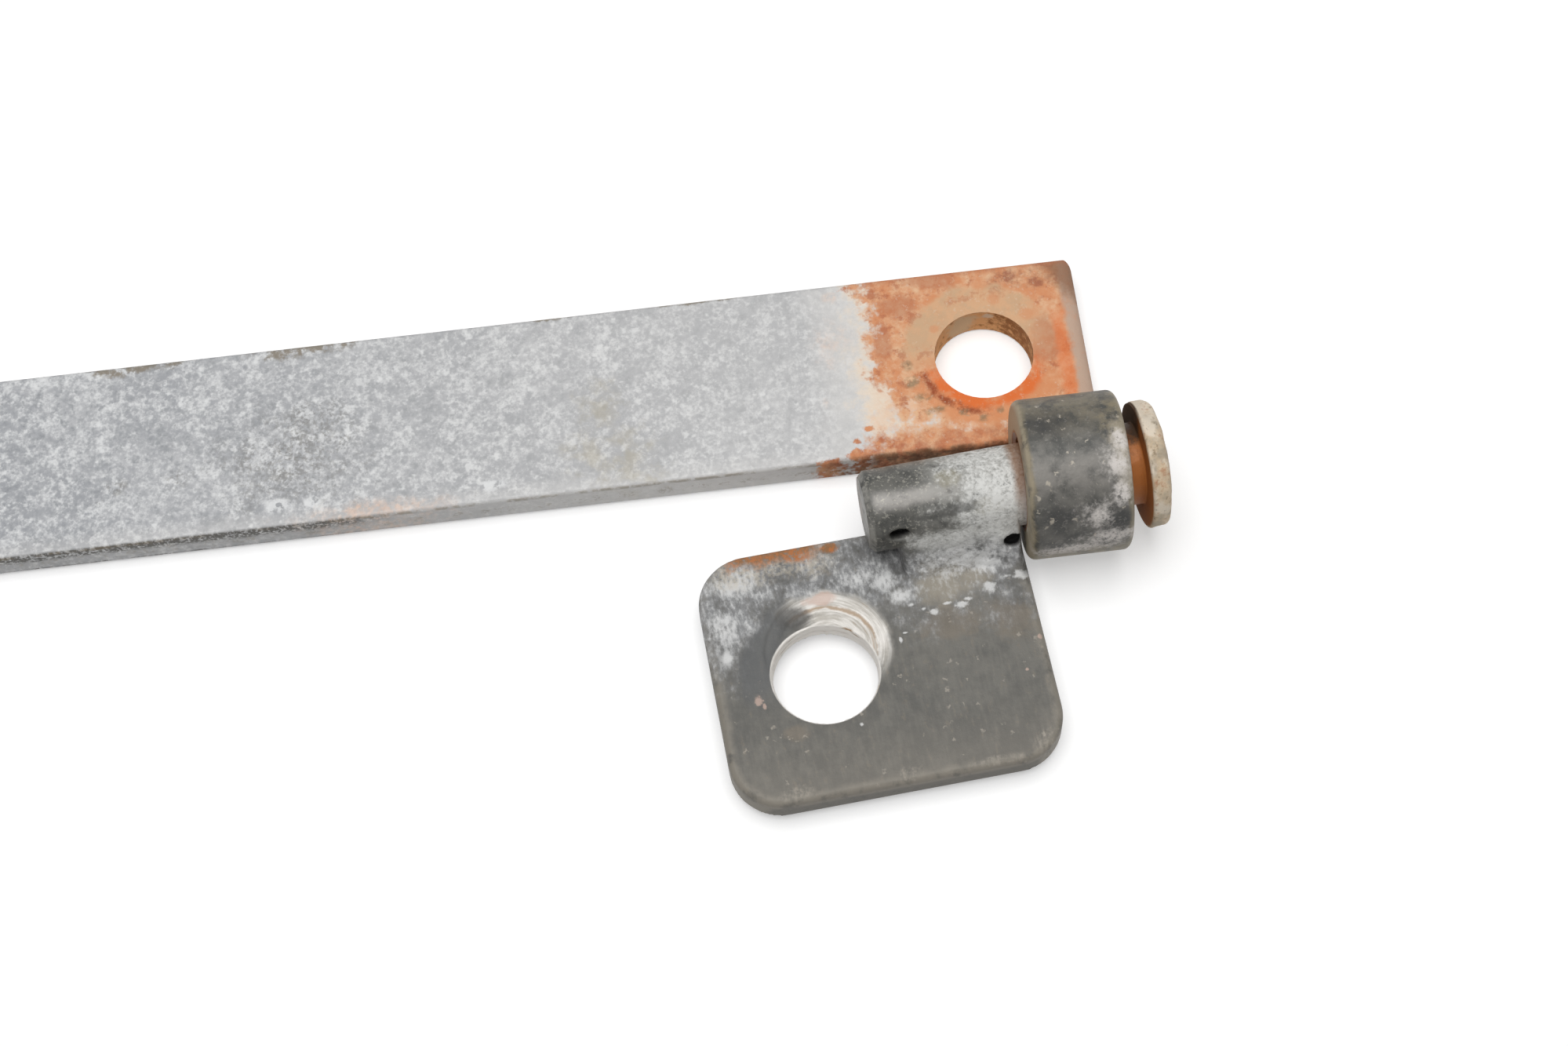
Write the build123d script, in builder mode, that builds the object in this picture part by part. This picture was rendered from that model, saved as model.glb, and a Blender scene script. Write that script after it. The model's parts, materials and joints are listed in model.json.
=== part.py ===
from build123d import *
from math import cos, radians, sin, sqrt, tan
import os

# Hood hinge, in millimetres. A flat strap carries a collar welded along its lower edge.
# A bolt-on leaf has a headed pin welded to its top edge, and the pin turns in the collar.
# The origin is the strap's bolt hole beside the collar, on the strap's back face.
# X runs along the strap towards the pin's head, and Z points out of the strap's front face.

# Strap
strap_width = 19.0
strap_thickness = 3.2
strap_hole_diameter = 9.3
hole_to_strap_end = 9.7
strap_hole_pitch = 120.0
strap_corner_radius = 1.2
strap_edge_round = 0.4
strap_end_round = 1.1

# Collar, laid flat beside the strap and joined to it across a narrow root gap
collar_diameter = 14.5
collar_length = 9.25
collar_overhang = 0.35
collar_edge_round = 0.7
bore_mouth_chamfer = 0.3
weld_root_gap = 0.15

# Pin, worn loose, so that it leans out of line in the collar's bore
pin_diameter = 7.45
pin_lean = radians(4.1)
bore_clearance = 0.04
pin_tail_length = 14.4
pin_tail_chamfer = 0.5
head_diameter = 12.2
head_rim = 1.7
head_crown = 0.7
head_edge_round = 0.4
head_seat_chamfer = 0.3
end_play = 1.55

# Leaf
leaf_width = 29.9
leaf_height = 24.5
leaf_thickness = 2.6
leaf_corner_radius = 4.7
leaf_edge_round = 0.6
leaf_top_drop = 0.25
leaf_side_clearance = 0.1
leaf_hole_diameter = 9.7
leaf_hole_from_side = 10.0
leaf_hole_from_bottom = 11.65

# Dish that the bolt wore into the leaf, off centre from its hole
leaf_wear_shift = 2.2
leaf_wear_turn = radians(75)
leaf_wear_diameter = 11.4
leaf_wear_depth = 0.6

# Weld beads
leaf_bead_toe = 2.2
leaf_bead_climb = radians(14)
leaf_bead_hollow = 0.25
leaf_bead_root = 0.3
leaf_bead_tail_gap = 2.75
leaf_bead_side_gap = 0.4
collar_bead_toe = 1.3
collar_bead_climb = radians(12)
collar_bead_depth = 0.9
collar_bead_bulge = 0.3
collar_bead_end_gap = 1.4

# Worked out from the sizes above
strap_length = strap_hole_pitch + 2 * hole_to_strap_end
strap_middle = hole_to_strap_end - strap_length / 2
strap_lower_edge = -strap_width / 2
collar_radius = collar_diameter / 2
collar_half = collar_length / 2
collar_middle = hole_to_strap_end + collar_overhang - collar_half
collar_reach = collar_radius + weld_root_gap
axis_height = collar_radius
axis_y = strap_lower_edge - sqrt(collar_reach**2 - (axis_height - strap_thickness) ** 2)
pin_radius = pin_diameter / 2
bore_diameter = pin_diameter / cos(pin_lean) + collar_length * tan(pin_lean) + 2 * bore_clearance
collar_face_reach = (collar_radius - collar_edge_round) * tan(pin_lean)
leaf_right = -collar_half / cos(pin_lean) - collar_face_reach - leaf_side_clearance
leaf_left = leaf_right - leaf_width
leaf_bottom = -leaf_top_drop - leaf_height
leaf_hole_x = leaf_left + leaf_hole_from_side
leaf_hole_y = leaf_bottom + leaf_hole_from_bottom
leaf_wear_x = leaf_hole_x + leaf_wear_shift * cos(leaf_wear_turn)
leaf_wear_y = leaf_hole_y + leaf_wear_shift * sin(leaf_wear_turn)
pin_tail = -collar_half - pin_tail_length
head_seat = collar_half + end_play

# The pivot point, and the pin's own frame: x along the pin, y up the leaf, z out of its face
pivot = Vector(collar_middle, axis_y, axis_height)
pin_direction = Vector(cos(pin_lean), sin(pin_lean), 0)
leaf_direction = Vector(-sin(pin_lean), cos(pin_lean), 0)
pin_frame = Plane(origin=pivot, x_dir=pin_direction, z_dir=(0, 0, 1))

# Strap: rounded bar section, cut to its plan outline, with one end dressed round
with BuildPart() as strap:
    with BuildSketch(Plane.YZ.offset(strap_middle - strap_length / 2)):
        with Locations((0, strap_thickness / 2)):
            RectangleRounded(strap_width, strap_thickness, strap_edge_round)
    extrude(amount=strap_length)
    with BuildSketch():
        with Locations((strap_middle, 0)):
            RectangleRounded(strap_length, strap_width, strap_corner_radius)
        with Locations((0, 0), (-strap_hole_pitch, 0)):
            Circle(strap_hole_diameter / 2, mode=Mode.SUBTRACT)
    extrude(amount=strap_thickness, mode=Mode.INTERSECT)
    with BuildSketch(Plane.XZ) as strap_side:
        with Locations((strap_middle, strap_thickness / 2)):
            Rectangle(strap_length, strap_thickness)
        fillet(strap_side.vertices().sort_by(Axis.X)[-2:].sort_by(Axis.Z)[-1], strap_end_round)
    extrude(amount=strap_width / 2, both=True, mode=Mode.INTERSECT)

# Collar: short thick tube, its rims worn round
with BuildPart() as collar:
    with BuildSketch(Plane(origin=pivot, x_dir=(0, 1, 0), z_dir=(1, 0, 0))):
        Circle(collar_radius)
        Circle(bore_diameter / 2, mode=Mode.SUBTRACT)
    extrude(amount=collar_half, both=True)
    rims_by_size = collar.edges().filter_by(GeomType.CIRCLE).group_by(SortBy.RADIUS)
    chamfer(rims_by_size[0], bore_mouth_chamfer)
    fillet(rims_by_size[-1], collar_edge_round)

# Bead in the groove between the collar and the strap's front corner
with BuildPart() as collar_weld:
    bead_start = collar_middle - collar_half + collar_bead_end_gap
    with BuildSketch(Plane(origin=(bead_start, 0, 0), x_dir=(0, 1, 0), z_dir=(1, 0, 0))):
        strap_toe = (strap_lower_edge + collar_bead_toe, strap_thickness)
        collar_toe = (
            axis_y + collar_radius * cos(collar_bead_climb),
            axis_height - collar_radius * sin(collar_bead_climb),
        )
        strap_corner = (strap_lower_edge, strap_thickness)
        bead_root = (strap_lower_edge, strap_thickness - collar_bead_depth)
        collar_heart = (axis_y, axis_height)
        with BuildLine():
            SagittaArc(strap_toe, collar_toe, -collar_bead_bulge)
            Polyline(collar_toe, collar_heart, bead_root, strap_corner, strap_toe)
        make_face()
        with Locations(collar_heart):
            Circle(collar_radius, mode=Mode.SUBTRACT)
    extrude(amount=hole_to_strap_end - strap_end_round - bead_start)

# Pin: plain shank with a low domed head, chamfered at its tail
with BuildPart() as pin:
    with BuildSketch(pin_frame) as pin_profile:
        with BuildLine():
            crown_radius = (head_diameter**2 / 4 + head_crown**2) / (2 * head_crown)
            shank = Polyline(
                (pin_tail, 0),
                (pin_tail, pin_radius),
                (head_seat, pin_radius),
                (head_seat, head_diameter / 2),
                (head_seat + head_rim, head_diameter / 2),
            )
            crown = RadiusArc(shank @ 1, (head_seat + head_rim + head_crown, 0), crown_radius)
            Line(crown @ 1, shank @ 0)
        make_face()
        tail_corner = pin_profile.vertices().group_by(Axis.X)[0].sort_by(Axis.Y)[-1]
        chamfer(tail_corner, pin_tail_chamfer)
        head_seat_corner = pin_profile.vertices().group_by(Axis.Y)[-1].sort_by(Axis.X)[0]
        chamfer(head_seat_corner, head_seat_chamfer)
        head_rim_corner = pin_profile.vertices().group_by(Axis.Y)[-1].sort_by(Axis.X)[-1]
        fillet(head_rim_corner, head_edge_round)
    revolve(axis=Axis(pivot, pin_direction))

# Leaf: flat plate under the pin, three corners rounded, front edges rolled over, hole worn dished
with BuildPart() as leaf:
    with BuildSketch(pin_frame.offset(-pin_radius - leaf_thickness)) as leaf_plan:
        with Locations(((leaf_left + leaf_right) / 2, (leaf_bottom - leaf_top_drop) / 2)):
            Rectangle(leaf_width, leaf_height)
        inner_corner = leaf_plan.vertices().sort_by_distance((leaf_right, -leaf_top_drop, 0))[0]
        fillet(leaf_plan.vertices() - [inner_corner], leaf_corner_radius)
        with Locations((leaf_hole_x, leaf_hole_y)):
            Circle(leaf_hole_diameter / 2, mode=Mode.SUBTRACT)
    extrude(amount=leaf_thickness)
    fillet(leaf.faces().sort_by(Axis.Z)[-1].outer_wire().edges(), leaf_edge_round)
    wear_middle = Vector(leaf_wear_x, leaf_wear_y, -pin_radius - leaf_wear_depth / 2)
    with Locations(pin_frame.from_local_coords(wear_middle)):
        Cone(
            bottom_radius=leaf_hole_diameter / 2 - leaf_wear_shift,
            top_radius=leaf_wear_diameter / 2,
            height=leaf_wear_depth,
            mode=Mode.SUBTRACT,
        )

# Bead along the pin, down onto the leaf's front face
with BuildPart() as leaf_weld:
    bead_left = pin_tail + leaf_bead_tail_gap
    bead_right = leaf_right - leaf_bead_side_gap
    bead_plane = Plane(origin=pivot + pin_direction * bead_left, x_dir=leaf_direction, z_dir=pin_direction)
    with BuildSketch(bead_plane):
        leaf_toe = (-pin_radius - leaf_bead_toe, -pin_radius)
        pin_toe = (-pin_radius * cos(leaf_bead_climb), pin_radius * sin(leaf_bead_climb))
        leaf_root = (-leaf_top_drop - leaf_edge_round - leaf_bead_root, -pin_radius)
        with BuildLine():
            SagittaArc(leaf_toe, pin_toe, -leaf_bead_hollow)
            Polyline(pin_toe, (0, 0), leaf_root, leaf_toe)
        make_face()
        Circle(pin_radius, mode=Mode.SUBTRACT)
    extrude(amount=bead_right - bead_left)

os.makedirs("parts", exist_ok=True)
pieces = {
    "strap": strap,
    "collar": collar,
    "collar_weld": collar_weld,
    "pin": pin,
    "leaf": leaf,
    "leaf_weld": leaf_weld,
}
for name, piece in pieces.items():
    piece.part.label = name
    export_step(piece.part, f"parts/{name}.step")

leaf_hole = pin_frame.from_local_coords(
    Vector(leaf_hole_x, leaf_hole_y, -pin_radius - leaf_thickness)
)
print(f"bore diameter {bore_diameter:.3f}, pivot {pivot}")
print(f"leaf hole on the leaf's back face {leaf_hole}")
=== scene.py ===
import json
import math

import bmesh
import bpy
import numpy as np
from mathutils import Matrix, Quaternion, Vector, noise


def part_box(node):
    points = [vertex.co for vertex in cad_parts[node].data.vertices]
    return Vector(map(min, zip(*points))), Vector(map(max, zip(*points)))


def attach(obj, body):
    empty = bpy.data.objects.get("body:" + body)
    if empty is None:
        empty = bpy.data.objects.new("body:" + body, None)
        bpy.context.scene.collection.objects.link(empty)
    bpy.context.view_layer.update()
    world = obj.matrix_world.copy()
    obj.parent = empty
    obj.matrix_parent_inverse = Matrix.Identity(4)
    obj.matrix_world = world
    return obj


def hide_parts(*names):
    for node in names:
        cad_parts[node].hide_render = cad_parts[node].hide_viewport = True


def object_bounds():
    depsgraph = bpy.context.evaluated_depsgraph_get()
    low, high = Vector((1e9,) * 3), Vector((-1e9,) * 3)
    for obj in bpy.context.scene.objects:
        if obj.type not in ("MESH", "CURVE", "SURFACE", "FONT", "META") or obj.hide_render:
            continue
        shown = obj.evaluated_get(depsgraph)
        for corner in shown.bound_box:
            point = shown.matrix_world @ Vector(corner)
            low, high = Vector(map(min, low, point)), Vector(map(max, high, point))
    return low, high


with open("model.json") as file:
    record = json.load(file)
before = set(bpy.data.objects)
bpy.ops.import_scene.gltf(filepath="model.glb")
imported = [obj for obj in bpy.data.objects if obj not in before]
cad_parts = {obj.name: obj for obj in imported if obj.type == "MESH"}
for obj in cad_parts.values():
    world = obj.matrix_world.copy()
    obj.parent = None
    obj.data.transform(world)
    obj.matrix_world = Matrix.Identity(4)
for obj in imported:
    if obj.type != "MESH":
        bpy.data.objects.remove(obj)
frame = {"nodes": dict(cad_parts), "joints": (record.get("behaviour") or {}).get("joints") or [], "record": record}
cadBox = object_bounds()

# Worn hood hinge: zinc strap with a rusted end, dark collar, headed pin and bolt-on leaf.
# Meshes are in metres in the frame's own axes. Shaders work in millimetres.

mm = 0.001
joint = frame["joints"][0]
pivot = Vector(joint["pos_m"])
along = Vector(joint["axis"]).normalized()  # down the pin, towards its head
upLeaf = Vector((-along.y, along.x, 0))  # from the leaf's foot to the pin
outward = Vector((0, 0, 1))
pinAxes = Matrix((along, upLeaf, outward)).transposed()
mounts = {mount["name"]: mount for mount in frame["record"]["mounts"]}
inDegrees = 180 / math.pi


def toPin(point):  # a frame point in the pin's own axes
    return pinAxes.transposed() @ (Vector(point) - pivot)


def nodeInPin(name):  # a node's corners in the pin's axes, as an array
    return np.array([toPin(v.co) for v in frame["nodes"][name].data.vertices])


print("frame loaded, pivot at", [round(c / mm, 2) for c in pivot], "mm")

# Camera, fitted to the photo
view = {
    "eye": (-25.853, -128.452, 229.03),  # mm
    "aim": (-20.58, -13.68, 0.26),
    "roll": -4.29,  # degrees
    "lens": 63.46,
    "sensor": 36,
    "clip": (0.01, 20),  # metres
}


def setCamera():
    data = bpy.data.cameras.new("photoCamera")
    data.sensor_width = view["sensor"]
    data.lens = view["lens"]
    data.clip_start, data.clip_end = view["clip"]
    camera = bpy.data.objects.new("photoCamera", data)
    eye = Vector(view["eye"]) * mm
    sight = (Vector(view["aim"]) * mm - eye).to_track_quat("-Z", "Y")
    camera.rotation_mode = "QUATERNION"
    camera.rotation_quaternion = sight @ Quaternion((0, 0, 1), math.radians(view["roll"]))
    camera.location = eye
    bpy.context.scene.collection.objects.link(camera)
    bpy.context.scene.camera = camera


setCamera()
print("camera set")


# Shader sums: a wire is one socket of a node tree
class Wire:
    def __init__(self, tree, socket=None):
        self.tree = tree
        self.socket = socket

    def node(self, kind, settings=None, sockets=None, out=0):  # adds any node
        made = self.tree.nodes.new(kind)
        for name, value in (settings or {}).items():
            setattr(made, name, value)
        for name, value in (sockets or {}).items():
            if isinstance(value, Wire):
                self.tree.links.new(value.socket, made.inputs[name])
            else:
                made.inputs[name].default_value = value
        return Wire(self.tree, made.outputs[out] if made.outputs else None)

    def also(self, name):  # another output of the same node
        return Wire(self.tree, self.socket.node.outputs[name])

    def maths(self, operation, first, second=0.0):
        return self.node("ShaderNodeMath", {"operation": operation}, {0: first, 1: second})

    def __add__(self, other):
        return self.maths("ADD", self, other)

    def __radd__(self, other):
        return self.maths("ADD", other, self)

    def __sub__(self, other):
        return self.maths("SUBTRACT", self, other)

    def __rsub__(self, other):
        return self.maths("SUBTRACT", other, self)

    def __mul__(self, other):
        return self.maths("MULTIPLY", self, other)

    def __truediv__(self, other):
        return self.maths("DIVIDE", self, other)

    def __abs__(self):
        return self.maths("ABSOLUTE", self)

    def most(self, other):
        return self.maths("MAXIMUM", self, other)

    def least(self, other):
        return self.maths("MINIMUM", self, other)


def tint(colour):  # a colour as the eye reads it, 0 to 255, to the shader's linear values
    shares = [c / 255 for c in colour]
    linear = [s / 12.92 if s <= 0.04045 else ((s + 0.055) / 1.055) ** 2.4 for s in shares]
    return (*linear, 1.0)


def asPaint(colour):
    return colour if isinstance(colour, Wire) else tint(colour)


def lay(share, under, over):  # a coat of one colour on another
    sockets = {0: share, 6: asPaint(under), 7: asPaint(over)}
    return share.node("ShaderNodeMix", {"data_type": "RGBA"}, sockets, out=2)


def rise(value, low, high):  # 0 below low, 1 above high, or the other way round
    settings = {"interpolation_type": "SMOOTHSTEP"}
    return value.node("ShaderNodeMapRange", settings, {0: value, 1: low, 2: high})


def grain(at, size, detail, rough, seed):  # cloudy noise, size in mm
    sockets = {"Vector": at, "W": seed, "Scale": 1 / size, "Detail": detail, "Roughness": rough}
    return at.node("ShaderNodeTexNoise", {"noise_dimensions": "4D"}, sockets)


def grains(at, seed, cloud=1.5, tear=2.2):  # clouds, flecks, fine grain and tears round 0
    mottle = grain(at, cloud, 5, 0.62, seed)
    fleck = grain(at, 0.5, 3, 0.62, seed + 2)
    fine = grain(at, 0.26, 2, 0.6, seed + 4)
    ragged = grain(at, tear, 6, 0.66, seed + 6) - 0.5
    return mottle, fleck, fine, ragged


def place(start):  # the surface point in mm
    at = start.node("ShaderNodeTexCoord", out="Object")
    return at.node("ShaderNodeVectorMath", {"operation": "SCALE"}, {0: at, "Scale": 1 / mm})


def split(at):
    return [at.node("ShaderNodeSeparateXYZ", None, {0: at}, out=i) for i in range(3)]


def pinPlace(at):  # the same point along, up and out from the pin, in mm
    shift = {"operation": "SUBTRACT"}
    local = at.node("ShaderNodeVectorMath", shift, {0: at, 1: pivot / mm})
    dot = {"operation": "DOT_PRODUCT"}
    axes = (along, upLeaf, outward)
    return [at.node("ShaderNodeVectorMath", dot, {0: local, 1: a}, out="Value") for a in axes]


def reach(a, b):  # length of the side across two legs
    square = a * a + b * b
    return square.maths("SQRT", square)


def patches(a, b, fray, ovals, soft=0.65):  # ovals, each as its middle and half sizes
    edge = 0.92  # where the frayed rim lies, in half sizes
    flat = a.node("ShaderNodeCombineXYZ", None, {0: a, 1: b})
    nearest = None
    for across, down, wide, high in ovals:
        sockets = {0: flat, 1: (1 / wide, 1 / high, 0), 2: (-across / wide, -down / high, 0)}
        local = flat.node("ShaderNodeVectorMath", {"operation": "MULTIPLY_ADD"}, sockets)
        length = flat.node("ShaderNodeVectorMath", {"operation": "LENGTH"}, {0: local}, out="Value")
        nearest = length if nearest is None else nearest.least(length)
    return rise(nearest + fray, edge + soft / 2, edge - soft / 2)


crumbShape = {"stray": 1.3, "spread": 0.42, "least": -0.14, "blur": 0.12}  # in cells


def crumbs(at, cell, share):  # loose crumbs, one in a share of the cells
    stray = at.node("ShaderNodeTexNoise", None, {"Vector": at, "Scale": 2 / cell}, out="Color")
    sockets = {0: stray, 1: [cell * crumbShape["stray"]] * 3, 2: at}
    moved = at.node("ShaderNodeVectorMath", {"operation": "MULTIPLY_ADD"}, sockets)
    cells = at.node("ShaderNodeTexVoronoi", None, {"Vector": moved, "Scale": 1 / cell})
    size = rise(split(cells.also("Color"))[0], 1 - share, 1.0)
    size = size * crumbShape["spread"] + crumbShape["least"]
    return rise(cells - size, crumbShape["blur"], -crumbShape["blur"])


def startFinish(name):
    finish = bpy.data.materials.new(name)
    finish.use_nodes = True
    finish.node_tree.nodes.clear()
    return finish, Wire(finish.node_tree)


dullGloss = 0.35


def closeFinish(start, colour, rough, metal, height, lift):
    bump = {"Strength": 1.0, "Distance": lift * mm, "Height": height}
    normal = start.node("ShaderNodeBump", None, bump)
    sockets = {"Base Color": colour, "Roughness": rough, "Metallic": metal, "Normal": normal}
    sockets["Specular IOR Level"] = dullGloss
    skin = start.node("ShaderNodeBsdfPrincipled", None, sockets)
    start.node("ShaderNodeOutputMaterial", None, {"Surface": skin})


# Strap: chalky zinc, rusted round the bolt hole by the collar
# Patches are (x, y, half width, half height) in mm
zinc = {
    "deep": (158, 160, 164),
    "mid": (187, 188, 190),
    "chalk": (226, 227, 227),
    "lead": (140, 143, 147),
    "pale": (217, 215, 212),
    "cream": (236, 216, 192),
    "peach": (228, 176, 134),
    "olive": (100, 93, 77),
    "dirt": (128, 116, 96),
    "darkOlive": (74, 71, 63),
    "khaki": (176, 168, 148),
    "stains": (
        (-63.0, 1.5, 2.6, 1.4), (-60.7, -1.2, 0.9, 0.8), (-65.5, -2.7, 5.6, 3.8),
        (-75.9, -3.1, 1.0, 0.9), (-81.9, -3.4, 0.9, 0.7), (-83.2, -4.8, 0.4, 0.4),
        (-104.0, 2.0, 3.0, 2.4), (-112.5, -4.4, 1.6, 1.2),
    ),
    "grime": (
        (-80.6, 9.5, 4.6, 0.95), (-64.2, 9.4, 4.6, 1.1), (-40.1, 9.5, 1.6, 0.4),
        (-26.4, 9.5, 4.8, 0.4), (-100.0, 9.5, 5.0, 0.8), (-119.0, -9.5, 6.0, 0.9),
    ),
    "khakis": ((-36.3, -0.5, 1.9, 2.0), (-34.4, -6.5, 2.4, 2.8), (-38.2, -5.8, 1.8, 1.6)),
    "whites": ((-66.9, -7.4, 1.3, 0.9), (-63.7, -7.3, 0.8, 0.7), (-47.0, -7.8, 1.2, 0.6)),
    "peaches": (
        (-58.6, -9.0, 6.0, 0.8), (-13.8, 3.0, 1.4, 2.0), (-15.3, -3.2, 0.3, 0.4),
        (-13.6, 8.0, 0.7, 0.5),
    ),
}
rust = {
    "pale": (239, 195, 156),
    "mid": (224, 153, 109),
    "deep": (186, 112, 80),
    "hot": (236, 120, 58),
    "arc": (148, 66, 36),
    "plum": (150, 100, 80),
    "apron": (228, 153, 106),
    "tan": (226, 182, 142),
    "tanGrey": (212, 176, 140),
    "moss": (132, 120, 94),
    "band": (200, 174, 155),
    "bandDark": (148, 108, 82),
    # under: painted shade for the lower side beside the pin
    "under": (88, 60, 38),
    # wall colours raised as painted light, against the shade inside the bolt hole
    "wall": (168, 114, 68),
    "wallPale": (240, 184, 128),
    "wallGrey": (226, 200, 164),
    "edge": -10.6,  # mm from the bolt hole, along the strap
    "washerRadius": 7.7,
    "stripTop": -7.1,
    "scarRadius": 6.05,
    "bandStart": 8.2,
    "islands": (
        (-8.45, -3.7, 0.9, 1.1), (-8.2, -5.3, 0.5, 0.7), (-6.5, -5.6, 0.8, 0.8),
        (-9.9, -0.9, 0.6, 0.7), (-11.6, 8.9, 0.9, 0.5), (-11.7, -6.4, 0.45, 0.3),
        (-12.8, -9.1, 1.3, 0.5), (-13.0, -7.6, 0.3, 0.25), (-15.6, -9.6, 1.4, 0.4),
    ),
    "spots": (
        (0.6, 7.8, 0.95, 0.85), (1.7, 5.9, 0.75, 0.7), (4.6, 3.9, 0.95, 0.7),
        (-4.3, 3.35, 0.5, 0.45),
    ),
    "reds": (
        (6.0, 0.6, 1.9, 2.8), (-7.4, 6.2, 1.8, 1.6), (-3.8, 8.6, 2.6, 0.9),
        (-9.4, 2.4, 0.9, 2.2),
    ),
    "plums": ((5.2, 8.3, 4.0, 1.6),),
    "flecks": (
        (-7.3, -2.2, 0.7, 0.5), (-6.4, -3.8, 0.8, 0.5), (-5.1, -5.25, 0.9, 0.45),
        (-2.7, -5.95, 0.5, 0.4), (-1.0, -6.7, 0.5, 0.4), (0.7, -6.0, 0.4, 0.4),
        (-7.4, -0.2, 0.5, 0.5),
    ),
    "corner": ((9.6, 9.2, 2.7, 4.4),),
    "wallGreys": ((-1.5, 1.7, 1.5, 1.7),),  # on the hole's wall: x, z and half sizes
    "wallChips": ((1.1, 2.5, 0.5, 0.4),),
}
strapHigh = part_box("strap")[1] / mm
strapHalf = strapHigh.z / 2
strapHole = mounts["strap_bolt_hole"]["dims"]["r_mm"]


def rustedEnd(at, x, y, z, fine, fleck, ragged, under):  # rust over a colour, and its share
    fray = ragged * 2.4
    speck = fleck - 0.5
    tone = grain(at, 2.2, 6, 0.68, 12)
    blotch = grain(at, 1.4, 6, 0.7, 14)
    frayed = ragged * 5.0 + (grain(at, 0.7, 4, 0.6, 16) - 0.5) * 3.0
    radius = reach(x, y)
    washerRadius = rust["washerRadius"]
    # a ragged border, a strip along the lower edge, and cream between them
    lower = rise(y, -1.0, -4.5)
    border = lower * (washerRadius + 0.25 - radius) + (1 - lower) * (x - rust["edge"])
    main = rise(border + frayed * 1.3, -0.8, 0.8)
    strip = rise(rust["stripTop"] - y + frayed * 0.7, -0.6, 0.6)
    strip = strip * rise(x + frayed * 1.4, -13.4, -10.8)
    right = rise(x + ragged * 3.0, 1.6, 2.6)
    islands = patches(x, y, fray + speck * 2.6, rust["islands"])
    rusted = main.most(strip).most(right).most(islands)
    body = lay(rise(x + ragged * 9.0, -18.0, -11.4) * 0.75, under, zinc["pale"])
    flush = rise(x + ragged * 9.0, -13.2, -10.4)
    body = lay(flush * rise(tone + ragged * 0.3, 0.34, 0.54) * 0.75, body, zinc["cream"])
    flush = flush * rise(x - y * 0.4 + ragged * 9.0, -10.0, -5.0)
    body = lay(flush * rise(blotch + speck * 0.4, 0.34, 0.56) * 0.85, body, zinc["peach"])
    coat = lay(rise(tone + speck * 0.3, 0.34, 0.6), rust["pale"], rust["mid"])
    redden = blotch + rise(y, 3.5, 9.0) * 0.04 + rise(x, -4.0, -10.0) * 0.04
    redden = rise(redden, 0.53, 0.66).most(patches(x, y, fray, rust["reds"]) * 0.7)
    coat = lay(redden * 0.75, coat, rust["deep"])
    foot = rise(y + ragged * 3.0, -6.6, -8.4) * rise(blotch, 0.36, 0.56)
    coat = lay(foot * 0.6, coat, rust["deep"])
    plum = patches(x, y, fray, rust["plums"]) * rise(blotch, 0.36, 0.6)
    coat = lay(plum * 0.5, coat, rust["plum"])
    # the washer's print, tan above the hole and orange below it
    washer = rise(radius + ragged * 2.4, washerRadius + 0.4, washerRadius - 0.6)
    upper = rise(y + ragged * 5.0, -1.8, 1.6) * (1 - rise(x + ragged * 3.0, 4.2, 6.6) * 0.7)
    tan = lay(rise(tone + ragged * 0.5, 0.4, 0.58), rust["tanGrey"], rust["tan"])
    coat = lay(washer * upper * (1 - redden * 0.5) * 0.9, coat, tan)
    coat = lay(washer * rise(y + ragged * 4.0, -1.6, -4.0) * 0.8, coat, rust["apron"])
    hot = rise(radius + ragged * 3.2, 6.5, 5.2) * rise(y + ragged * 5.0, -0.2, -3.2)
    coat = lay(hot * rise(tone, 0.3, 0.52) * 0.95, coat, rust["hot"])
    scar = rise(abs(radius - rust["scarRadius"] + ragged * 1.8), 0.75, 0.1)
    scar = scar * rise(y, -0.2, -1.4) * rise(x + ragged * 3.0, 0.8, -1.6)
    coat = lay(scar * rise(blotch + speck * 0.4, 0.34, 0.58) * 0.85, coat, rust["arc"])
    coat = lay(patches(x, y, fray * 0.8, rust["spots"]) * 0.55, coat, rust["mid"])
    mossy = patches(x, y, fray * 1.6, rust["flecks"], 1.2) * rise(fleck, 0.32, 0.56)
    coat = lay(mossy * 0.7, coat, rust["moss"])
    coat = lay(rise(fine + speck * 0.6, 0.6, 0.74) * 0.3, coat, zinc["cream"])
    body = lay(rusted, body, coat)
    # dressed end, its top corner dark
    bandStart = rust["bandStart"]
    glow = rise(abs(x - bandStart + 0.7 + ragged * 2.0), 1.0, 0.2)
    glow = glow * rise(y + ragged * 3.0, 5.0, 2.0)
    body = lay(glow * 0.55, body, rust["hot"])
    band = rise(x + ragged * 1.2, bandStart - 0.25, bandStart + 0.35)
    body = lay(band * 0.92, body, rust["band"])
    body = lay(band * rise(blotch, 0.5, 0.66) * 0.35, body, rust["mid"])
    body = lay(patches(x, y, fray * 0.5, rust["corner"]) * 0.8, body, rust["bandDark"])
    edge = rise(y + ragged * 1.4, 8.6, 9.4) * rise(x, -12.0, -10.0)
    body = lay(edge * 0.45, body, rust["deep"])
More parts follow.
